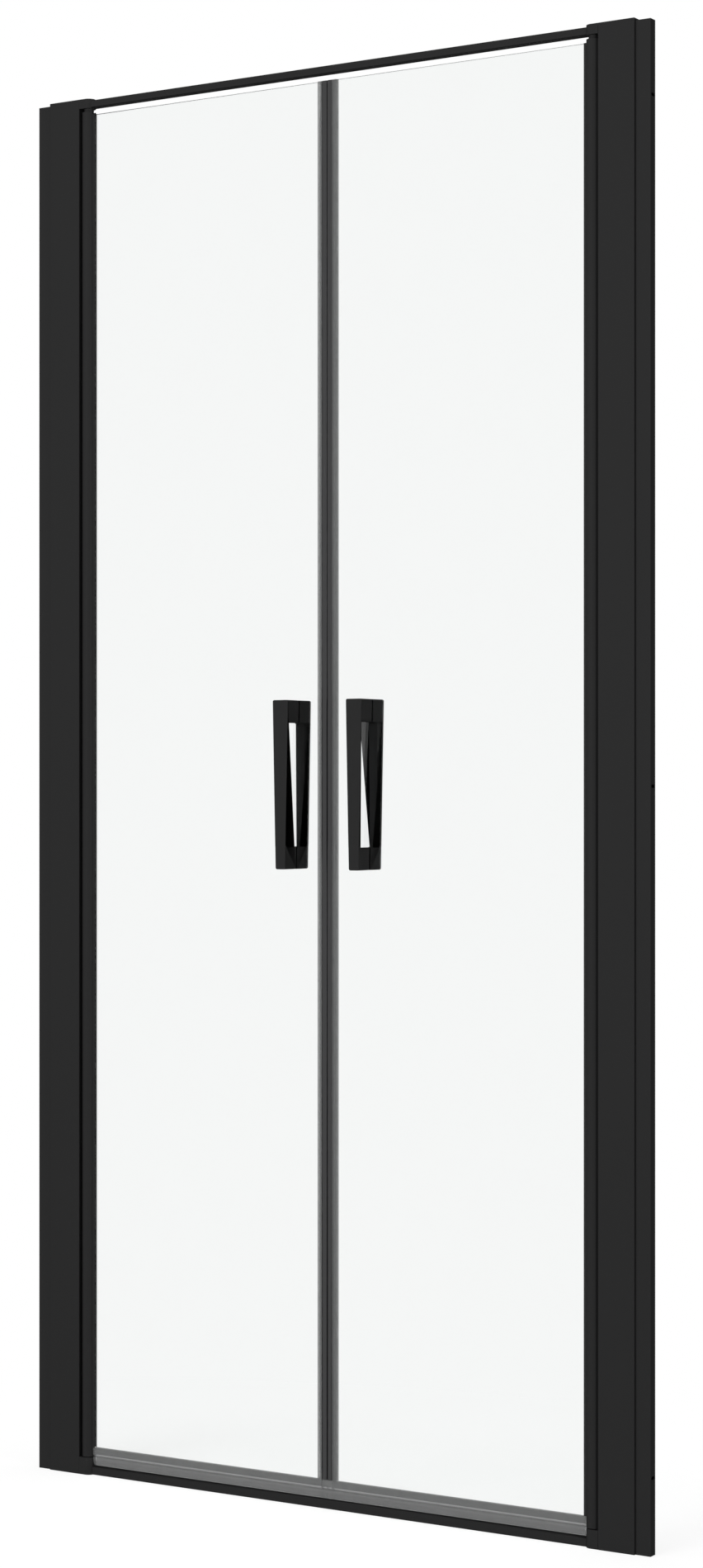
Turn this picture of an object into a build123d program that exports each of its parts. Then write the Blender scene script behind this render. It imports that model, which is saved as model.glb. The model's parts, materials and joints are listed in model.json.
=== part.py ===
from build123d import *
import os

# A two-leaf swing door for a shower niche. Each leaf hangs on a full-height round pivot profile.
# Millimetres. X runs along the door, Y from the room into the shower, Z up.
# The origin is on the floor, under the middle of the door, in the middle of the glass.
# The pieces of the right-hand half are made first, and the left-hand half is their mirror image.

# Overall
opening_width = 1000.0
door_height = 2000.0

# Wall profile, a channel screwed to the wall
wall_profile_depth = 14.0
wall_profile_reach = 40.0
wall_profile_web = 1.8
wall_profile_leg = 1.5
wall_profile_corner = 0.5
wall_slot_length = 9.5
wall_slot_width = 4.4
wall_slot_count = 3
wall_slot_from_end = 101.0

# Post profile, which slides over the wall profile
post_from_wall = 22.0
post_width = 53.5
post_depth = 20.0
post_wall = 1.6
post_corner = 0.5
post_chamber_width = 16.3
post_guide_length = 16.0
slide_clearance = 0.1

# Headless screws that clamp the post on the wall profile, from the shower side
clamp_screw_from_end = 150.0
clamp_screw_from_mouth = 8.0
clamp_screw_radius = 2.5
clamp_screw_sunk = 0.3
thread_clearance = 0.05

# Pivot blocks at the top and bottom of each post
top_plate_thickness = 3.0
top_nose_height = 13.7
bottom_plate_thickness = 3.0
bottom_nose_height = 25.0
block_tongue_length = 20.0
block_tongue_width = 12.0
block_fit = 0.15

# Pivot profile, called the barrel: a round extrusion that turns with the glass
barrel_radius = 10.0
barrel_to_post = 0.9
barrel_bottom_gap = 1.4
barrel_top_gap = 5.2
barrel_bore_radius = 4.25
barrel_web = 1.05
pin_radius = 3.0
pin_clearance = 0.05
pin_press = 0.02
pin_in_block = 10.5
pin_length = 32.0
bush_length = 24.0
bush_fit = 0.05
bush_play = 0.2
boss_radius = 7.0
boss_height = 4.6

# Glass leaf
glass_thickness = 6.0
glass_below_barrel_top = 3.6
glass_chamfer = 0.4
gasket_side = 0.8
gasket_base = 0.5
gasket_lip_reach = 3.0

# Magnetic seals where the leaves meet
leaf_gap = 0.6
magnet_sleeve_width = 8.3
magnet_sleeve_depth = 9.2
magnet_sleeve_corner = 1.8
magnet_strip_width = 4.0
magnet_strip_depth = 6.0
magnet_strip_cover = 0.9
magnet_strip_play = 0.1
clip_web = 1.0
clip_lip_length = 5.8
clip_lip_thickness = 1.8
clip_lip_rounding = 0.7
seal_joint_gap = 0.3

# Bottom seal under each leaf: a clip, a neck and a hollow bulb
bottom_clip_height = 11.4
bottom_clip_web = 1.5
bottom_clip_lip = 1.7
bottom_clip_chamfer = 0.4
bulb_neck_width = 2.4
bulb_neck_height = 0.8
bulb_upper_radius = 4.6
bulb_lower_radius = 2.4
bulb_height = 14.2
bulb_wall = 0.9
bulb_over_threshold = 0.4
seal_end_gap = 0.7

# Threshold and stabiliser rail
threshold_depth = 9.0
threshold_height = 13.0
threshold_wall = 1.4
threshold_rounding = 1.6
rail_depth = 13.2
rail_height = 10.4
rail_below_top = 2.6
rail_wall = 1.2
rail_rounding = 0.8
cope_clearance = 0.1
bar_tongue_length = 12.0
bar_tongue_fit = 0.1

# Handles, one on each face of each leaf
handle_from_centre = 60.0
handle_middle_height = 1002.6
handle_length = 235.0
handle_top_width = 25.4
handle_bottom_width = 15.7
handle_reach = 28.0
handle_slot_length = 173.0
handle_slot_rounding = 3.0
grip_top_thickness = 8.6
grip_bottom_thickness = 6.8
grip_edge = 0.8
grip_back_top_width = 14.0
grip_back_bottom_width = 11.4
handle_corner = 2.5
handle_edge = 0.5
pad_thickness = 1.0
pad_inset = 0.4
pad_rim = 3.2
stud_radius = 3.0
stud_in_handle = 12.0
stud_play = 1.0

# Places worked out from the sizes above
wall_x = opening_width / 2
post_mouth_x = wall_x - post_from_wall
post_face_x = post_mouth_x - post_width
post_half = post_depth / 2
chamber_start_x = post_face_x + post_wall
chamber_end_x = chamber_start_x + post_chamber_width
channel_start_x = chamber_end_x + post_wall
channel_half = post_half - post_wall
mouth_half = wall_profile_depth / 2 + slide_clearance
post_top_z = door_height - top_plate_thickness
tongue_end_x = chamber_end_x - block_fit

clamp_x = post_mouth_x - clamp_screw_from_mouth
clamp_heights = [clamp_screw_from_end, door_height - clamp_screw_from_end]

pivot_x = post_face_x - barrel_to_post - barrel_radius
nose_x = pivot_x - barrel_radius
top_nose_z = door_height - top_nose_height
barrel_bottom_z = bottom_nose_height + barrel_bottom_gap
barrel_top_z = top_nose_z - barrel_top_gap

threshold_half = threshold_depth / 2
bulb_bottom_z = threshold_height + bulb_over_threshold
neck_z = bulb_bottom_z + bulb_height
clip_bottom_z = neck_z + bulb_neck_height
clip_top_z = clip_bottom_z + bottom_clip_height
seal_end_x = nose_x - seal_end_gap

glass_half = glass_thickness / 2
glass_bottom_z = clip_bottom_z + bottom_clip_web
glass_top_z = barrel_top_z - glass_below_barrel_top
slot_bottom_x = pivot_x - barrel_bore_radius - barrel_web
glass_outer_x = slot_bottom_x - gasket_base
slot_half = glass_half + gasket_side
sleeve_x = leaf_gap / 2
clip_x = sleeve_x + magnet_sleeve_width
glass_inner_x = clip_x + clip_web
seal_bottom_z = clip_top_z + seal_joint_gap

rail_top_z = door_height - rail_below_top
rail_bottom_z = rail_top_z - rail_height
rail_half = rail_depth / 2

handle_bottom_z = handle_middle_height - handle_length / 2
handle_top_z = handle_middle_height + handle_length / 2
slot_bottom_z = handle_middle_height - handle_slot_length / 2
slot_top_z = handle_middle_height + handle_slot_length / 2
handle_foot = glass_half + pad_thickness
handle_face = glass_half + handle_reach
stud_heights = [(handle_bottom_z + slot_bottom_z) / 2, (handle_top_z + slot_top_z) / 2]
stud_end = handle_foot + stud_in_handle


def block_between(x0, x1, y0, y1, z0, z1):
    middle = Pos((x0 + x1) / 2, (y0 + y1) / 2, (z0 + z1) / 2)
    return middle * Box(x1 - x0, y1 - y0, z1 - z0)


def rectangle_between(x0, x1, y0, y1):
    return Pos((x0 + x1) / 2, (y0 + y1) / 2) * Rectangle(x1 - x0, y1 - y0)


def upright(section, z0, z1):
    return Pos(0, 0, z0) * extrude(section, z1 - z0)


def rod_up(radius, x, y, z0, z1):
    return Pos(x, y, (z0 + z1) / 2) * Cylinder(radius, z1 - z0)


def rod_through(radius, x, y0, y1, z):
    return Pos(x, (y0 + y1) / 2, z) * Rot(90, 0, 0) * Cylinder(radius, y1 - y0)


def evenly(count, low, high):
    return [low + (high - low) * i / (count - 1) for i in range(count)]


# Frame

def wall_profile():
    half = wall_profile_depth / 2
    inner_half = half - wall_profile_leg
    outside = rectangle_between(wall_x - wall_profile_reach, wall_x, -half, half)
    outside = fillet(outside.vertices().group_by(Axis.X)[-1], wall_profile_corner)
    hollow = rectangle_between(
        wall_x - wall_profile_reach - 1, wall_x - wall_profile_web, -inner_half, inner_half
    )
    channel = upright(outside - hollow, 0, post_top_z - slide_clearance)
    slot = Plane.YZ * SlotOverall(wall_slot_length, wall_slot_width)
    slot = extrude(slot, 3 * wall_profile_web)
    for z in evenly(wall_slot_count, wall_slot_from_end, door_height - wall_slot_from_end):
        channel -= Pos(wall_x - 2 * wall_profile_web, 0, z) * slot
    return channel


def post_outline():
    outline = rectangle_between(post_face_x, post_mouth_x, -post_half, post_half)
    return chamfer(outline.vertices(), post_corner)


def post_section():
    outside = post_outline()
    chamber = rectangle_between(chamber_start_x, chamber_end_x, -channel_half, channel_half)
    channel = rectangle_between(
        channel_start_x, post_mouth_x - post_guide_length, -channel_half, channel_half
    )
    mouth = rectangle_between(channel_start_x, post_mouth_x + 1, -mouth_half, mouth_half)
    return outside - chamber - channel - mouth


def post_profile():
    post = upright(post_section(), 0, post_top_z)
    notch_half = block_tongue_width / 2 + block_fit
    notch_end = chamber_start_x + 1
    low_notch_z = bottom_nose_height + block_fit
    post -= block_between(post_face_x - 1, notch_end, -notch_half, notch_half, -1, low_notch_z)
    high_notch_z = top_nose_z - block_fit
    post -= block_between(
        post_face_x - 1, notch_end, -notch_half, notch_half, high_notch_z, post_top_z + 1
    )
    plate_z = bottom_plate_thickness + block_fit
    post -= block_between(chamber_start_x, chamber_end_x, -channel_half, channel_half, -1, plate_z)
    for z in clamp_heights:
        radius = clamp_screw_radius + thread_clearance
        post -= rod_through(radius, clamp_x, 0, post_half + 1, z)
    return post


def clamp_screws():
    tip = wall_profile_depth / 2
    head = post_half - clamp_screw_sunk
    return Compound([rod_through(clamp_screw_radius, clamp_x, tip, head, z) for z in clamp_heights])


def nose_plan():
    round_end = Pos(pivot_x, 0) * Circle(barrel_radius)
    return round_end + rectangle_between(pivot_x, post_face_x, -barrel_radius, barrel_radius)


def tongue_in_bar(half, wall, z0, z1):
    inner = half - wall - bar_tongue_fit
    low = z0 + wall + bar_tongue_fit
    high = z1 - wall - bar_tongue_fit
    return block_between(nose_x - bar_tongue_length, pivot_x, -inner, inner, low, high)


def tongue_in_post(z0, z1):
    half = block_tongue_width / 2
    return block_between(post_face_x - 1, tongue_end_x, -half, half, z0, z1)


def top_block():
    bridge = rectangle_between(pivot_x, post_face_x + 2 * post_corner, -post_half, post_half)
    block = upright(nose_plan(), top_nose_z, door_height)
    block += upright(post_outline() + bridge, post_top_z, door_height)
    block += tongue_in_post(top_nose_z, post_top_z + 1)
    tongue_start = chamber_start_x + block_fit
    tongue_z = post_top_z - block_tongue_length
    half = block_tongue_width / 2
    block += block_between(tongue_start, tongue_end_x, -half, half, tongue_z, post_top_z)
    block += tongue_in_bar(rail_half, rail_wall, rail_bottom_z, rail_top_z)
    block += rod_up(boss_radius, pivot_x, 0, top_nose_z - boss_height, top_nose_z)
    pin_mouth = top_nose_z - boss_height - 1
    return block - rod_up(pin_radius + pin_press, pivot_x, 0, pin_mouth, top_nose_z + pin_in_block)


def bottom_block():
    block = upright(nose_plan(), 0, bottom_nose_height)
    block += tongue_in_post(0, bottom_nose_height)
    start = chamber_start_x + block_fit
    end = chamber_end_x - block_fit
    plate_half = channel_half - block_fit
    block += block_between(start, end, -plate_half, plate_half, 0, bottom_plate_thickness)
    block += tongue_in_bar(threshold_half, threshold_wall, 0, threshold_height)
    pin_foot = bottom_nose_height - pin_in_block
    return block - rod_up(pin_radius + pin_press, pivot_x, 0, pin_foot, bottom_nose_height + 1)


def hinge_pins():
    top = top_nose_z + pin_in_block
    foot = bottom_nose_height - pin_in_block
    high = rod_up(pin_radius, pivot_x, 0, top - pin_length, top)
    low = rod_up(pin_radius, pivot_x, 0, foot, foot + pin_length)
    return Compound([high, low])


def hollow_bar(half, wall, rounding, z0, z1):
    # the raw bar reaches into the round noses, and is then cut to their curve
    reach = pivot_x - barrel_radius / 2
    middle = (z0 + z1) / 2
    outline = Plane.YZ * Pos(0, middle) * RectangleRounded(2 * half, z1 - z0, rounding)
    opening = Plane.YZ * Pos(0, middle) * Rectangle(2 * (half - wall), z1 - z0 - 2 * wall)
    bar = Pos(-reach, 0, 0) * extrude(outline - opening, 2 * reach)
    for x in (-pivot_x, pivot_x):
        bar -= rod_up(barrel_radius + cope_clearance, x, 0, z0 - 1, z1 + 1)
    return bar


def threshold():
    return hollow_bar(threshold_half, threshold_wall, threshold_rounding, 0, threshold_height)


def top_rail():
    return hollow_bar(rail_half, rail_wall, rail_rounding, rail_bottom_z, rail_top_z)


# Leaf

def hinge_barrel():
    section = Pos(pivot_x, 0) * Circle(barrel_radius)
    section -= Pos(pivot_x, 0) * Circle(barrel_bore_radius)
    section -= rectangle_between(nose_x - 1, slot_bottom_x, -slot_half, slot_half)
    return upright(section, barrel_bottom_z, barrel_top_z)


def glazing_gasket():
    # its two lips stand out of the barrel along the glass, and start above the bottom seal
    lip_end_x = nose_x - gasket_lip_reach
    section = rectangle_between(lip_end_x, slot_bottom_x, -slot_half, slot_half)
    section -= rectangle_between(lip_end_x - 1, glass_outer_x, -glass_half, glass_half)
    foot = section & Pos(pivot_x, 0) * Circle(barrel_radius)
    gasket = upright(foot, glass_bottom_z, seal_bottom_z)
    return gasket + upright(section, seal_bottom_z, glass_top_z)


def hinge_bushes():
    foot = bottom_nose_height + bush_play
    radius = barrel_bore_radius - bush_fit
    high = rod_up(radius, pivot_x, 0, barrel_top_z - bush_length, barrel_top_z)
    low = rod_up(radius, pivot_x, 0, foot, foot + bush_length)
    bore = rod_up(pin_radius + pin_clearance, pivot_x, 0, 0, door_height)
    return Compound([high - bore, low - bore])


def glass_panel():
    pane = block_between(
        glass_inner_x, glass_outer_x, -glass_half, glass_half, glass_bottom_z, glass_top_z
    )
    pane = chamfer(pane.edges().filter_by(Axis.X).group_by(Axis.Z)[-1], glass_chamfer)
    for z in stud_heights:
        hole_radius = stud_radius + stud_play
        pane -= rod_through(hole_radius, handle_from_centre, -glass_half - 1, glass_half + 1, z)
    return pane


def magnet_clip():
    half = glass_half + clip_lip_thickness
    tip_x = glass_inner_x + clip_lip_length
    section = rectangle_between(clip_x, tip_x, -half, half)
    section = fillet(section.vertices().group_by(Axis.X)[-1], clip_lip_rounding)
    section -= rectangle_between(glass_inner_x, tip_x + 1, -glass_half, glass_half)
    return upright(section, seal_bottom_z, glass_top_z)


def magnet_sleeve():
    middle = Pos((sleeve_x + clip_x) / 2, 0)
    section = middle * RectangleRounded(
        magnet_sleeve_width, magnet_sleeve_depth, magnet_sleeve_corner
    )
    play = 2 * magnet_strip_play
    cavity = Rectangle(magnet_strip_width + play, magnet_strip_depth + play)
    section -= Pos(magnet_strip_middle(), 0) * cavity
    return upright(section, seal_bottom_z, glass_top_z)


def magnet_strip_middle():
    return sleeve_x + magnet_strip_cover + magnet_strip_play + magnet_strip_width / 2


def magnet_strip():
    section = Pos(magnet_strip_middle(), 0) * Rectangle(magnet_strip_width, magnet_strip_depth)
    return upright(section, seal_bottom_z, glass_top_z)


def bulb_outline(inset):
    upper = Pos(0, neck_z - bulb_upper_radius) * Circle(bulb_upper_radius - inset)
    lower = Pos(0, bulb_bottom_z + bulb_lower_radius) * Circle(bulb_lower_radius - inset)
    return make_hull(upper.edges() + lower.edges())


def bottom_seal():
    half = glass_half + bottom_clip_lip
    clip = rectangle_between(-half, half, clip_bottom_z, clip_top_z)
    clip = chamfer(clip.vertices(), bottom_clip_chamfer)
    clip -= rectangle_between(-glass_half, glass_half, glass_bottom_z, clip_top_z + 1)
    neck_half = bulb_neck_width / 2
    neck_low = neck_z - bulb_wall / 2
    neck = rectangle_between(-neck_half, neck_half, neck_low, clip_bottom_z + bottom_clip_web / 2)
    section = clip + neck + bulb_outline(0) - bulb_outline(bulb_wall)
    return Pos(sleeve_x, 0, 0) * extrude(Plane.YZ * section, seal_end_x - sleeve_x)


# Handles

def tapered(z0, z1, inset):
    low = width_at(z0) / 2 - inset
    high = width_at(z1) / 2 - inset
    return Polygon(
        (-low, z0 + inset), (low, z0 + inset), (high, z1 - inset), (-high, z1 - inset), align=None
    )


def width_at(z):
    share = (z - handle_bottom_z) / handle_length
    return handle_bottom_width + (handle_top_width - handle_bottom_width) * share


def finger_slot():
    low_y = -handle_face + grip_bottom_thickness
    high_y = -handle_face + grip_top_thickness
    open_y = -handle_foot + 1
    profile = Polygon(
        (low_y, slot_bottom_z),
        (open_y, slot_bottom_z),
        (open_y, slot_top_z),
        (high_y, slot_top_z),
        align=None,
    )
    corners = profile.vertices().sort_by(Axis.X)[:2]
    profile = fillet(corners, handle_slot_rounding)
    return extrude(Plane.YZ * profile, handle_top_width, both=True)


def grip_bevel(z, thickness, back_width):
    # the triangle that turns the square side of the grip into a slope towards its narrow back,
    # and goes on through the rounding at the end of the slot
    side = Vector(width_at(z) / 2, -handle_face + grip_edge)
    back = Vector(back_width / 2, -handle_face + thickness)
    slope = (back - side) / (thickness - grip_edge)
    start = side - slope
    end = back + slope * (handle_slot_rounding + 1)
    corner = (start.X, end.Y)
    return Pos(0, 0, z) * Polygon((start.X, start.Y), (end.X, end.Y), corner, align=None)


def handle_body():
    outline = tapered(handle_bottom_z, handle_top_z, 0)
    body = extrude(Plane.XZ.offset(handle_foot) * outline, handle_face - handle_foot)
    body = fillet(body.edges().filter_by(Axis.Y), handle_corner)
    body = chamfer(body.faces().sort_by(Axis.Y)[0].edges(), handle_edge)
    body -= finger_slot()
    low = grip_bevel(slot_bottom_z, grip_bottom_thickness, grip_back_bottom_width)
    high = grip_bevel(slot_top_z, grip_top_thickness, grip_back_top_width)
    bevel = loft([low, high], ruled=True)
    body -= bevel
    body -= mirror(bevel, about=Plane.YZ)
    for z in stud_heights:
        body -= rod_through(stud_radius + thread_clearance, 0, -stud_end, 0, z)
    return body


def handle_outer():
    return Pos(handle_from_centre, 0, 0) * handle_body()


def handle_inner():
    return mirror(handle_outer(), about=Plane.XZ)


def handle_pads():
    pads = []
    for z0, z1 in ((handle_bottom_z, slot_bottom_z), (slot_top_z, handle_top_z)):
        ring = tapered(z0, z1, pad_inset) - tapered(z0, z1, pad_inset + pad_rim)
        pad = Pos(handle_from_centre, 0, 0) * extrude(Plane.XZ.offset(glass_half) * ring, pad_thickness)
        pads += [pad, mirror(pad, about=Plane.XZ)]
    return Compound(pads)


def handle_studs():
    return Compound(
        [rod_through(stud_radius, handle_from_centre, -stud_end, stud_end, z) for z in stud_heights]
    )


# Every piece of one half, and the two bars that join the halves

paired = [
    wall_profile,
    post_profile,
    clamp_screws,
    top_block,
    bottom_block,
    hinge_pins,
    hinge_barrel,
    glazing_gasket,
    hinge_bushes,
    glass_panel,
    magnet_clip,
    magnet_sleeve,
    magnet_strip,
    bottom_seal,
    handle_outer,
    handle_inner,
    handle_pads,
    handle_studs,
]

os.makedirs("parts", exist_ok=True)
for make in paired:
    right = make()
    export_step(right, f"parts/{make.__name__}_right.step")
    export_step(mirror(right, about=Plane.YZ), f"parts/{make.__name__}_left.step")
export_step(threshold(), "parts/threshold.step")
export_step(top_rail(), "parts/top_rail.step")
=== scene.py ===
import json
import math

import bmesh
import bpy
from mathutils import Matrix, Vector


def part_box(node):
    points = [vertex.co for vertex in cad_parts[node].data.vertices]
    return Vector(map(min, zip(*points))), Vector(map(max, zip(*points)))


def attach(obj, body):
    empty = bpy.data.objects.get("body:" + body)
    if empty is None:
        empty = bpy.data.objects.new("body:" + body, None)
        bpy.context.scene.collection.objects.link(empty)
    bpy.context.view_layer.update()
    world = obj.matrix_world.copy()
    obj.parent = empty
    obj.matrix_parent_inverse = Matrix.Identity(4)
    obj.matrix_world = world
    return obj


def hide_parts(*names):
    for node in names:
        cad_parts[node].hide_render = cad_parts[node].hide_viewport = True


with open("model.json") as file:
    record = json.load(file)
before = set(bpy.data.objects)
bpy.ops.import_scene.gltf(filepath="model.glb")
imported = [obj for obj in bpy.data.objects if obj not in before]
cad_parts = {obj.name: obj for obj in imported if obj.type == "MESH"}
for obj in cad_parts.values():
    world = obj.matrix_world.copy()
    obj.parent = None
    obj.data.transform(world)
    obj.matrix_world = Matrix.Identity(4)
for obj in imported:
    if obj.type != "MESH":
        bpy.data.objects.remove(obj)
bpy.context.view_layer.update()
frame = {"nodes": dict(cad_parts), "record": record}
sides = {"left": -1, "right": 1}  # each side of the door and its way along X
print("stage: frame loaded")


# A shader socket that can be added, subtracted and multiplied like a number
class Wire:
    def __init__(self, finish, socket):
        self.finish = finish
        self.socket = socket

    def maths(self, operation, first, second):
        made = self.finish.node("ShaderNodeMath", {"operation": operation}, {0: first, 1: second})
        return Wire(self.finish, made.outputs[0])

    def __add__(self, other):
        return self.maths("ADD", self, other)

    def __radd__(self, other):
        return self.maths("ADD", other, self)

    def __sub__(self, other):
        return self.maths("SUBTRACT", self, other)

    def __rsub__(self, other):
        return self.maths("SUBTRACT", other, self)

    def __mul__(self, other):
        return self.maths("MULTIPLY", self, other)

    def __rmul__(self, other):
        return self.maths("MULTIPLY", other, self)


class Finish:
    def __init__(self, name):
        self.material = bpy.data.materials.new(name)
        self.material.use_nodes = True
        self.tree = self.material.node_tree
        self.tree.nodes.clear()
        self.output = self.node("ShaderNodeOutputMaterial")

    # One node: its own settings first, then the values or links of its sockets
    def node(self, kind, settings=None, inputs=None):
        made = self.tree.nodes.new(kind)
        for key, value in (settings or {}).items():
            setattr(made, key, value)
        for key, value in (inputs or {}).items():
            if isinstance(value, Wire):
                self.tree.links.new(value.socket, made.inputs[key])
            elif isinstance(value, bpy.types.NodeSocket):
                self.tree.links.new(value, made.inputs[key])
            else:
                made.inputs[key].default_value = value
        return made

    def surface(self, shader):
        self.tree.links.new(shader.outputs[0], self.output.inputs["Surface"])
        return self.material

    def place(self):
        return self.node("ShaderNodeTexCoord").outputs["Object"]

    # Noise on Object coordinates, from 0 to 1, stretched by a Mapping node
    def noise(self, scale, detail=2.0, roughness=0.5, stretch=(1, 1, 1)):
        where = self.node("ShaderNodeMapping", {}, {"Vector": self.place(), "Scale": stretch})
        made = self.node(
            "ShaderNodeTexNoise", {},
            {"Vector": where.outputs[0], "Scale": scale, "Detail": detail, "Roughness": roughness},
        )
        return Wire(self, made.outputs["Fac"])

    def between(self, low, high, share):
        made = self.node(
            "ShaderNodeMix", {"data_type": "RGBA"},
            {0: share, 6: (*low, 1), 7: (*high, 1)},
        )
        return made.outputs[2]

    def bump(self, height, strength, distance):
        made = self.node(
            "ShaderNodeBump", {},
            {"Height": height, "Strength": strength, "Distance": distance},
        )
        return made.outputs[0]

    def principled(self, **inputs):
        names = {key.replace("_", " "): value for key, value in inputs.items()}
        return self.node("ShaderNodeBsdfPrincipled", {}, names)


# A value that a pattern from 0 to 1 moves about its middle
def around(middle, change, pattern):
    return middle + change * (pattern - 0.5)


def shaded(colour, times):
    return tuple(times * channel for channel in colour)


# Black powder coat of the profiles and of the cast pieces: a matt base under a weak constant shine

blackCoat = {
    "dark": (0.0185, 0.0185, 0.0187),
    "light": (0.0225, 0.0225, 0.0227),
    "grainScale": 2600,
    "grainShare": 0.35,  # of the change in colour, and the blotches have the rest
    "blotchScale": 9,
    "blotchStretch": (1, 1, 0.15),
    "roughness": 0.42,
    "grainRoughness": 0.10,
    "blotchRoughness": 0.06,
    "shine": 0.008,
    "bumpStrength": 0.35,
    "grainHeight": 0.00006,
}
castCoat = {
    **blackCoat,
    "grainScale": 3200,
    "blotchScale": 60,
    "blotchStretch": (1, 1, 1),
    "roughness": 0.38,
    "grainHeight": 0.00004,
}


def powderCoat(name, coat):
    finish = Finish(name)
    grain = finish.noise(coat["grainScale"], detail=3.0, roughness=0.6)
    blotch = finish.noise(coat["blotchScale"], stretch=coat["blotchStretch"])
    share = coat["grainShare"] * grain + (1 - coat["grainShare"]) * blotch
    colour = finish.between(coat["dark"], coat["light"], share)
    rough = around(coat["roughness"], coat["grainRoughness"], grain)
    rough = around(rough, coat["blotchRoughness"], blotch)
    lumps = finish.bump(grain, coat["bumpStrength"], coat["grainHeight"])
    matt = finish.principled(
        Base_Color=colour, Roughness=rough, Specular_IOR_Level=0.0, Normal=lumps
    )
    sheen = finish.node(
        "ShaderNodeBsdfGlossy", {}, {"Color": (1, 1, 1, 1), "Roughness": rough, "Normal": lumps}
    )
    coated = finish.node(
        "ShaderNodeMixShader", {}, {0: coat["shine"], 1: matt.outputs[0], 2: sheen.outputs[0]}
    )
    return finish.surface(coated)


profileFinish = powderCoat("blackPowderCoat", blackCoat)
castFinish = powderCoat("blackCastCoat", castCoat)


# Clear glass

glassLook = {
    "tint": (0.905, 0.918, 0.912),
    "lampTint": (0.86, 0.88, 0.87),
    "ior": 1.5,
    "roughness": 0.0,
    "hazeScale": 14,
    "hazeLift": 1.01,
}


def clearGlass():
    finish = Finish("clearGlass")
    haze = finish.noise(glassLook["hazeScale"])
    lightTint = shaded(glassLook["tint"], glassLook["hazeLift"])
    shader = finish.principled(
        Base_Color=finish.between(glassLook["tint"], lightTint, haze),
        Roughness=glassLook["roughness"],
        IOR=glassLook["ior"],
        Transmission_Weight=1.0,
    )
    # lamps shine through the pane on what is behind it
    clear = finish.node(
        "ShaderNodeBsdfTransparent", {}, {"Color": (*glassLook["lampTint"], 1)}
    )
    path = finish.node("ShaderNodeLightPath")
    pane = finish.node(
        "ShaderNodeMixShader", {},
        {0: path.outputs["Is Shadow Ray"], 1: shader.outputs[0], 2: clear.outputs[0]},
    )
    return finish.surface(pane)


glassFinish = clearGlass()


# Smoky see-through plastic of the bottom seals and of the clips beside the sleeves

smokyLook = {
    "dark": (0.140, 0.143, 0.143),
    "light": (0.190, 0.193, 0.193),
    "alpha": 0.50,
    "roughness": 0.3,
    "lineScale": 900,
    "lineRoughness": 0.08,
    "cloudScale": 40,
    "cloudAlpha": 0.06,
    "bumpStrength": 0.2,
    "lineHeight": 0.00003,
}
drawnOut = 0.02  # how much slower a pattern changes along the way a seal is drawn


def smokyPlastic(name, look, stretch):
    finish = Finish(name)
    drawn = finish.noise(look["lineScale"], stretch=stretch)
    cloud = finish.noise(look["cloudScale"])
    shader = finish.principled(
        Base_Color=finish.between(look["dark"], look["light"], 0.5 * drawn + 0.5 * cloud),
        Roughness=around(look["roughness"], look["lineRoughness"], drawn),
        Alpha=around(look["alpha"], look["cloudAlpha"], cloud),
        Normal=finish.bump(drawn, look["bumpStrength"], look["lineHeight"]),
    )
    return finish.surface(shader)


sealFinish = smokyPlastic("smokySeal", smokyLook, (drawnOut, 1, 1))
clipFinish = smokyPlastic("smokyClip", smokyLook, (1, 1, drawnOut))


# Drawn black plastic of the sleeves round the magnets

sleeveLook = {
    "dark": (0.014, 0.014, 0.015),
    "light": (0.024, 0.024, 0.025),
    "roughness": 0.26,
    "lineScale": 1500,
    "lineStretch": (1, 1, 0.01),
    "lineRoughness": 0.08,
    "bumpStrength": 0.15,
    "lineHeight": 0.00003,
}


def drawnBlack(name, look):
    finish = Finish(name)
    drawn = finish.noise(look["lineScale"], stretch=look["lineStretch"])
    shader = finish.principled(
        Base_Color=finish.between(look["dark"], look["light"], drawn),
        Roughness=around(look["roughness"], look["lineRoughness"], drawn),
        Normal=finish.bump(drawn, look["bumpStrength"], look["lineHeight"]),
    )
    return finish.surface(shader)


sleeveFinish = drawnBlack("blackSleeve", sleeveLook)


# Rubber of gaskets and pads, nylon of the bushes, and the magnets

rubberGrain = {
    "scale": 1800,
    "colourChange": 0.2,
    "roughnessChange": 0.1,
    "shine": 0.3,
    "bumpStrength": 0.4,
    "height": 0.00008,
}


def grainy(name, colour, roughness):
    finish = Finish(name)
    grain = finish.noise(rubberGrain["scale"], detail=3.0, roughness=0.6)
    dark = shaded(colour, 1 - rubberGrain["colourChange"])
    light = shaded(colour, 1 + rubberGrain["colourChange"])
    shader = finish.principled(
        Base_Color=finish.between(dark, light, grain),
        Roughness=around(roughness, rubberGrain["roughnessChange"], grain),
        Specular_IOR_Level=rubberGrain["shine"],
        Normal=finish.bump(grain, rubberGrain["bumpStrength"], rubberGrain["height"]),
    )
    return finish.surface(shader)


rubberFinish = grainy("blackRubber", (0.012, 0.012, 0.012), 0.65)
nylonFinish = grainy("blackNylon", (0.016, 0.016, 0.016), 0.45)
magnetFinish = grainy("magnetStrip", (0.03, 0.027, 0.024), 0.7)


# Turned steel of pins, studs and screws

steelLook = {
    "dark": (0.42, 0.42, 0.43),
    "light": (0.58, 0.58, 0.59),
    "roughness": 0.32,
    "ringScale": 3000,
    "ringStretch": (0.05, 0.05, 1),
    "ringRoughness": 0.1,
    "bumpStrength": 0.2,
    "ringHeight": 0.00002,
}


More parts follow.
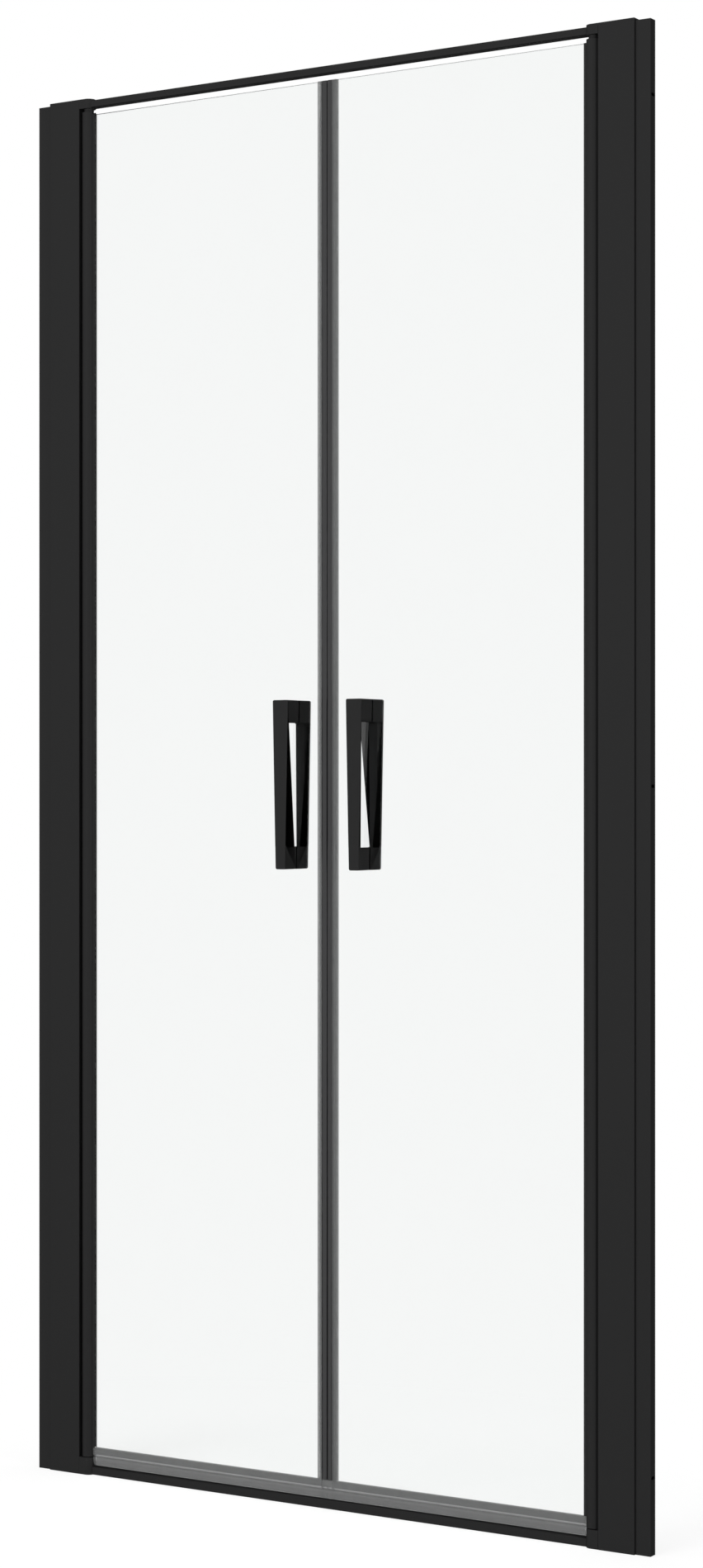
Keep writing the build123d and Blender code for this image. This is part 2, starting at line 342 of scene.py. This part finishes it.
def turnedSteel():
    finish = Finish("turnedSteel")
    rings = finish.noise(steelLook["ringScale"], stretch=steelLook["ringStretch"])
    shader = finish.principled(
        Base_Color=finish.between(steelLook["dark"], steelLook["light"], rings),
        Metallic=1.0,
        Roughness=around(steelLook["roughness"], steelLook["ringRoughness"], rings),
        Normal=finish.bump(rings, steelLook["bumpStrength"], steelLook["ringHeight"]),
    )
    return finish.surface(shader)


steelFinish = turnedSteel()
print("stage: finishes made")


# The finish of each CAD node, by its name or its name without the side

nodeFinish = {
    "wall_profile": profileFinish,
    "post_profile": profileFinish,
    "clamp_screws": steelFinish,
    "top_block": castFinish,
    "bottom_block": castFinish,
    "hinge_pins": steelFinish,
    "hinge_barrel": profileFinish,
    "glazing_gasket": rubberFinish,
    "hinge_bushes": nylonFinish,
    "glass_panel": glassFinish,
    "magnet_clip": clipFinish,
    "magnet_sleeve": sleeveFinish,
    "magnet_strip": magnetFinish,
    "bottom_seal": sealFinish,
    "handle_outer": castFinish,
    "handle_inner": castFinish,
    "handle_pads": rubberFinish,
    "handle_studs": steelFinish,
    "threshold": profileFinish,
    "top_rail": profileFinish,
}


def finishOf(node):
    return nodeFinish.get(node) or nodeFinish[node.rsplit("_", 1)[0]]


for nodeName, nodeObject in frame["nodes"].items():
    nodeObject.data.materials.clear()
    nodeObject.data.materials.append(finishOf(nodeName))
print("stage: frame nodes finished")


# Pieces made from a CAD node's shape, with smooth rounds and, on some, softened edges

bodyOf = {
    node: body
    for body, members in frame["record"]["behaviour"]["bodies"].items() for node in members
}
soften = {
    "weld": 0.000004,
    "sameFace": 0.4,  # degrees between faces that are one
    "sharpEdge": 33.0,  # degrees
    "flatWidth": 0.0024,  # a face this wide is no part of a round
    "segments": 2,
}
slotCorner = {
    "nodes": ("handle_outer", "handle_inner"),
    "middle": 1.0026,
    "half": 0.0865,
    "band": 0.0001,
    "rounding": 0.0018,
    "segments": 4,
}
sealJoint = {
    "node": "bottom_seal",
    "place": 0.0086,
    "gap": 0.00025,
}


def finished(name, shape, finish, body):
    data = bpy.data.meshes.new(name)
    shape.to_mesh(data)
    shape.free()
    data.materials.append(finish)
    piece = bpy.data.objects.new(name, data)
    bpy.context.scene.collection.objects.link(piece)
    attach(piece, body)
    return piece


# Joins a mesh's loose triangles into clean faces
def cleanUp(shape):
    bmesh.ops.remove_doubles(shape, verts=shape.verts, dist=soften["weld"])
    bmesh.ops.dissolve_limit(
        shape, angle_limit=math.radians(soften["sameFace"]), use_dissolve_boundaries=False,
        verts=shape.verts, edges=shape.edges,
    )


def sharpEdges(shape):
    limit = math.radians(soften["sharpEdge"])
    return [edge for edge in shape.edges if edge.is_manifold and edge.calc_face_angle() > limit]


# Narrow faces belong to rounds and are shaded smooth, wide ones are flat
def shadeRounds(shape):
    for face in shape.faces:
        longest = max(edge.calc_length() for edge in face.edges)
        face.smooth = face.calc_area() / longest < soften["flatWidth"]


def roundEdges(shape, edges, rounding, segments):
    bmesh.ops.bevel(
        shape, geom=edges, offset=rounding, offset_type="OFFSET", affect="EDGES",
        segments=segments, profile=0.5, material=-1, clamp_overlap=False,
    )


# The inward corners where a handle's grip runs into its feet
def slotCorners(shape):
    def atSlotEnd(vert):
        fromMiddle = abs(vert.co.z - slotCorner["middle"])
        return abs(fromMiddle - slotCorner["half"]) < slotCorner["band"]

    return [
        edge for edge in sharpEdges(shape)
        if not edge.is_convex and all(atSlotEnd(vert) for vert in edge.verts)
    ]


def joined(parts):
    whole = bmesh.new()
    for part in parts:
        data = bpy.data.meshes.new("part")
        part.to_mesh(data)
        part.free()
        whole.from_mesh(data)
        bpy.data.meshes.remove(data)
    return whole


# Cuts the seal's end block from its clip, with a fine joint between them
def splitSeal(shape):
    way = 1 if max(vert.co.x for vert in shape.verts) > 0 else -1
    halves = []
    for out in (-1, 1):
        half = shape.copy()
        place = way * (sealJoint["place"] + out * sealJoint["gap"] / 2)
        cut = bmesh.ops.bisect_plane(
            half, geom=half.verts[:] + half.edges[:] + half.faces[:],
            plane_co=(place, 0, 0), plane_no=(-out * way, 0, 0), clear_outer=True,
        )
        rim = [item for item in cut["geom_cut"] if isinstance(item, bmesh.types.BMEdge)]
        bmesh.ops.triangle_fill(half, use_beauty=True, use_dissolve=True, edges=rim)
        bmesh.ops.recalc_face_normals(half, faces=half.faces)
        halves.append(half)
    shape.free()
    return joined(halves)


def softened(node, name, rounding=0.0):
    shape = bmesh.new()
    shape.from_mesh(frame["nodes"][node].data)
    cleanUp(shape)
    if node.startswith(slotCorner["nodes"]):
        roundEdges(shape, slotCorners(shape), slotCorner["rounding"], slotCorner["segments"])
    if node.startswith(sealJoint["node"]):
        shape = splitSeal(shape)
    if rounding:
        roundEdges(shape, sharpEdges(shape), rounding, soften["segments"])
    bmesh.ops.dissolve_degenerate(shape, dist=soften["weld"], edges=shape.edges)
    shadeRounds(shape)
    piece = finished(name, shape, finishOf(node), bodyOf[node])
    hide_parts(node)


# How far the edges are rounded, and 0 where only the rounds are shaded smooth
edgeRounding = {
    "hinge_barrel": 0.0,
    "top_block": 0.00025,
    "bottom_block": 0.00025,
    "handle_outer": 0.0002,
    "handle_inner": 0.0002,
    "magnet_sleeve": 0.0,
    "magnet_clip": 0.0,
    "bottom_seal": 0.0,
    "glazing_gasket": 0.0,
    "hinge_bushes": 0.0,
    "hinge_pins": 0.0,
    "handle_pads": 0.0,
    "handle_studs": 0.0,
}
for part, rounding in edgeRounding.items():
    words = part.split("_")
    plain = words[0] + "".join(word.capitalize() for word in words[1:])
    for side in sides:
        softened(f"{part}_{side}", f"{plain}{side.capitalize()}", rounding)
softened("threshold", "thresholdBar")
softened("top_rail", "topRail")
print("stage: softened pieces made")


# Screws with a hexagon socket, the small parts seen from the shower side

screws = {
    "clamp": {"radius": 0.0025, "height": 0.0027, "socket": 0.0025, "depth": 0.0016, "rim": 0.0003},
    "block": {"radius": 0.0034, "height": 0.0017, "socket": 0.0025, "depth": 0.0011, "rim": 0.0009},
    "bar": {"radius": 0.0022, "height": 0.0010, "socket": 0.0015, "depth": 0.0007, "rim": 0.0005},
    "grub": {"radius": 0.0020, "height": 0.0003, "socket": 0.0020, "depth": 0.00025, "rim": 0.0001},
}
screwShape = {
    "sides": 24,
    "rimSegments": 3,
    "insetShare": 0.25,
}
screwPlace = {
    "blockFromPostEdge": 0.00975,
    "blockAboveTopNose": 0.0100,
    "barFromEnd": 0.0205,
    "grubFromPad": 0.0140,
}


def screwHead(size):
    head = bmesh.new()
    bmesh.ops.create_circle(
        head, cap_ends=True, segments=screwShape["sides"], radius=size["radius"]
    )
    raised = bmesh.ops.extrude_face_region(head, geom=head.faces[:])
    ring = [item for item in raised["geom"] if isinstance(item, bmesh.types.BMVert)]
    bmesh.ops.translate(head, vec=(0, 0, size["height"]), verts=ring)
    rim = [edge for edge in head.edges if all(vert in ring for vert in edge.verts)]
    bmesh.ops.bevel(
        head, geom=rim, offset=size["rim"], offset_type="OFFSET", affect="EDGES",
        segments=screwShape["rimSegments"], profile=0.5, material=-1,
    )
    top = max(head.faces, key=lambda face: face.calc_center_median().z)
    inset = (size["radius"] - size["rim"]) * screwShape["insetShare"]
    bmesh.ops.inset_region(head, faces=[top], thickness=inset)
    flatTurn = math.radians(60)  # from one flat of the hexagon to the next
    for vert in top.verts:
        turn = math.atan2(vert.co.y, vert.co.x)
        reach = size["socket"] / 2 / math.cos(turn % flatTurn - flatTurn / 2)
        vert.co.x, vert.co.y = reach * math.cos(turn), reach * math.sin(turn)
    well = bmesh.ops.extrude_face_region(head, geom=[top])
    floorRing = [item for item in well["geom"] if isinstance(item, bmesh.types.BMVert)]
    bmesh.ops.delete(head, geom=[top], context="FACES_ONLY")
    bmesh.ops.translate(head, vec=(0, 0, -size["depth"]), verts=floorRing)
    bmesh.ops.recalc_face_normals(head, faces=head.faces)
    return head


# Turns a head from +Z to the way it points and puts it in its place
def placedHead(kind, place, way):
    head = screwHead(screws[kind])
    turn = Vector((0, 0, 1)).rotation_difference(Vector(way)).to_matrix().to_4x4()
    bmesh.ops.transform(head, matrix=Matrix.Translation(place) @ turn, verts=head.verts)
    return head


def screwPiece(name, kind, places, way, body):
    whole = joined([placedHead(kind, place, way) for place in places])
    for face in whole.faces:
        face.smooth = False
    piece = finished(name, whole, steelFinish, body)
    return piece


toBack = (0, 1, 0)
toFloor = (0, 0, -1)
for side, way in sides.items():
    tail = side.capitalize()
    clampLow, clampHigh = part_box(f"clamp_screws_{side}")
    clampX = (clampLow[0] + clampHigh[0]) / 2
    clampRadius = screws["clamp"]["radius"]
    clampPlaces = [
        (clampX, clampLow[1], z) for z in (clampLow[2] + clampRadius, clampHigh[2] - clampRadius)
    ]
    clamps = screwPiece(f"clampScrews{tail}", "clamp", clampPlaces, toBack, "frame")
    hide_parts(f"clamp_screws_{side}")

    postLow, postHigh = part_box(f"post_profile_{side}")
    noseLow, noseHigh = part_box(f"bottom_block_{side}")
    topLow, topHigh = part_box(f"top_block_{side}")
    postEdge = postLow[0] if way > 0 else postHigh[0]
    blockX = postEdge + way * screwPlace["blockFromPostEdge"]
    blockHeights = (noseHigh[2] / 2, topLow[2] + screwPlace["blockAboveTopNose"])
    blockPlaces = [(blockX, postHigh[1], z) for z in blockHeights]
    screwPiece(f"blockScrews{tail}", "block", blockPlaces, toBack, "frame")

    gripLow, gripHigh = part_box(f"handle_inner_{side}")
    gripX = (gripLow[0] + gripHigh[0]) / 2
    grubPlace = (gripX, gripLow[1] + screwPlace["grubFromPad"], gripLow[2])
    screwPiece(f"grubScrew{tail}", "grub", [grubPlace], toFloor, f"{side}_leaf")

railLow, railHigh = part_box("top_rail")
sillLow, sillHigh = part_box("threshold")
barPlaces = []
for way in sides.values():
    barX = way * (railHigh[0] - screwPlace["barFromEnd"])
    barPlaces.append((barX, railHigh[1], (railLow[2] + railHigh[2]) / 2))
    barPlaces.append((barX, sillHigh[1], sillHigh[2] / 2))
screwPiece("barScrews", "bar", barPlaces, toBack, "frame")
print("stage: screws made")


# Floor, light and camera

studio = {
    "floorHalf": 30.0,
    "floorDrop": 0.0002,
    "bounceColour": 0.35,
    "seenColour": 0.95,
    "shadowShare": 0.25,
    "nearLift": 0.12,
    "nearReach": (1.15, 0.85),
    "nearStart": 0.4,  # share of the reach where the near floor starts to fade
    "fill": 0.15,
}
lamps = {
    "frontKey": {
        "power": 140.0, "size": (2.4, 2.6), "place": (-0.70, -4.60, 1.75), "target": (0, 0, 1.0),
        "mirrored": False,
    },
    "rightStrip": {
        "power": 24.0, "size": (0.35, 2.6), "place": (3.85, -1.25, 1.15), "target": (0, 0, 1.0),
        "mirrored": True,
    },
    "topSoft": {
        "power": 90.0, "size": (3.0, 3.0), "place": (0.0, -0.3, 4.80), "target": (0, 0, 0.0),
        "mirrored": False,
    },
}


# 1 for the camera, mirrored and see-through rays, which find white, and 0 for the light on things
def seenShare(finish):
    path = finish.node("ShaderNodeLightPath")
    seen = Wire(finish, path.outputs["Is Camera Ray"])
    seen = seen.maths("MAXIMUM", seen, path.outputs["Is Glossy Ray"])
    return seen.maths("MAXIMUM", seen, path.outputs["Is Transmission Ray"])


# White to the eye, with part of the real shadow let through near the door
def paleFloor():
    finish = Finish("paleFloor")
    seen = seenShare(finish)
    bounced = (studio["bounceColour"],) * 3
    pale = (studio["seenColour"],) * 3
    diffuse = finish.node(
        "ShaderNodeBsdfDiffuse", {}, {"Color": finish.between(bounced, pale, seen)}
    )
    reach = studio["nearReach"]
    scaled = finish.node(
        "ShaderNodeVectorMath", {"operation": "MULTIPLY"},
        {0: finish.place(), 1: (1 / reach[0], 1 / reach[1], 0)},
    )
    length = finish.node("ShaderNodeVectorMath", {"operation": "LENGTH"}, {0: scaled.outputs[0]})
    near = finish.node(
        "ShaderNodeMapRange", {"interpolation_type": "SMOOTHSTEP"},
        {
            "Value": length.outputs["Value"], "From Min": studio["nearStart"], "From Max": 1.0,
            "To Min": 1.0, "To Max": 0.0,
        },
    )
    nearShare = Wire(finish, near.outputs[0])
    lifted = (1 + studio["nearLift"],) * 3
    white = finish.node(
        "ShaderNodeEmission", {},
        {"Color": finish.between((1, 1, 1), lifted, nearShare), "Strength": 1.0},
    )
    share = seen * (1 - studio["shadowShare"] * nearShare)
    mixed = finish.node(
        "ShaderNodeMixShader", {}, {0: share, 1: diffuse.outputs[0], 2: white.outputs[0]}
    )
    return finish.surface(mixed)


floorMesh = bmesh.new()
bmesh.ops.create_grid(floorMesh, x_segments=1, y_segments=1, size=studio["floorHalf"])
bmesh.ops.translate(floorMesh, vec=(0, 0, -studio["floorDrop"]), verts=floorMesh.verts)
floorData = bpy.data.meshes.new("floor")
floorMesh.to_mesh(floorData)
floorMesh.free()
floorData.materials.append(paleFloor())
floor = bpy.data.objects.new("floor", floorData)
bpy.context.scene.collection.objects.link(floor)


# The world takes nodes as a finish does
class Backdrop(Finish):
    def __init__(self, world):
        world.use_nodes = True
        self.tree = world.node_tree
        self.tree.nodes.clear()
        self.output = self.node("ShaderNodeOutputWorld")


world = bpy.data.worlds.new("studio")
bpy.context.scene.world = world
backdrop = Backdrop(world)
fillLight = backdrop.node(
    "ShaderNodeBackground", {}, {"Color": (1, 1, 1, 1), "Strength": studio["fill"]}
)
whiteBack = backdrop.node("ShaderNodeBackground", {}, {"Color": (1, 1, 1, 1), "Strength": 1.0})
backMix = backdrop.node(
    "ShaderNodeMixShader", {},
    {0: seenShare(backdrop), 1: fillLight.outputs[0], 2: whiteBack.outputs[0]},
)
backdrop.tree.links.new(backMix.outputs[0], backdrop.output.inputs["Surface"])

for lampName, lamp in lamps.items():
    light = bpy.data.lights.new(lampName, "AREA")
    light.shape = "RECTANGLE"
    light.energy = lamp["power"]
    light.size, light.size_y = lamp["size"]
    lampObject = bpy.data.objects.new(lampName, light)
    lampObject.location = lamp["place"]
    aim = Vector(lamp["target"]) - Vector(lamp["place"])
    lampObject.rotation_euler = aim.to_track_quat("-Z", "Y").to_euler()
    lampObject.visible_glossy = lamp["mirrored"]
    lampObject.visible_transmission = lamp["mirrored"]
    lampObject.visible_camera = False
    bpy.context.scene.collection.objects.link(lampObject)

# The camera stands level, at the eye point found from the photograph's vanishing points
view = {
    "eye": (2.2989, -3.6106, 0.9937),
    "turn": 32.06,
    "focalPixels": 3742.1,
    "imageHeight": 1899,
    "centreDrop": 8.6,
    "sensor": 36.0,
}
cameraData = bpy.data.cameras.new("camera")
cameraData.sensor_width = view["sensor"]
cameraData.lens = view["focalPixels"] * view["sensor"] / view["imageHeight"]
cameraData.shift_y = view["centreDrop"] / view["imageHeight"]
camera = bpy.data.objects.new("camera", cameraData)
camera.location = view["eye"]
camera.rotation_euler = (math.radians(90), 0, math.radians(view["turn"]))
bpy.context.scene.collection.objects.link(camera)
bpy.context.scene.camera = camera
bpy.context.scene.view_settings.view_transform = "Standard"
print("stage: studio ready")
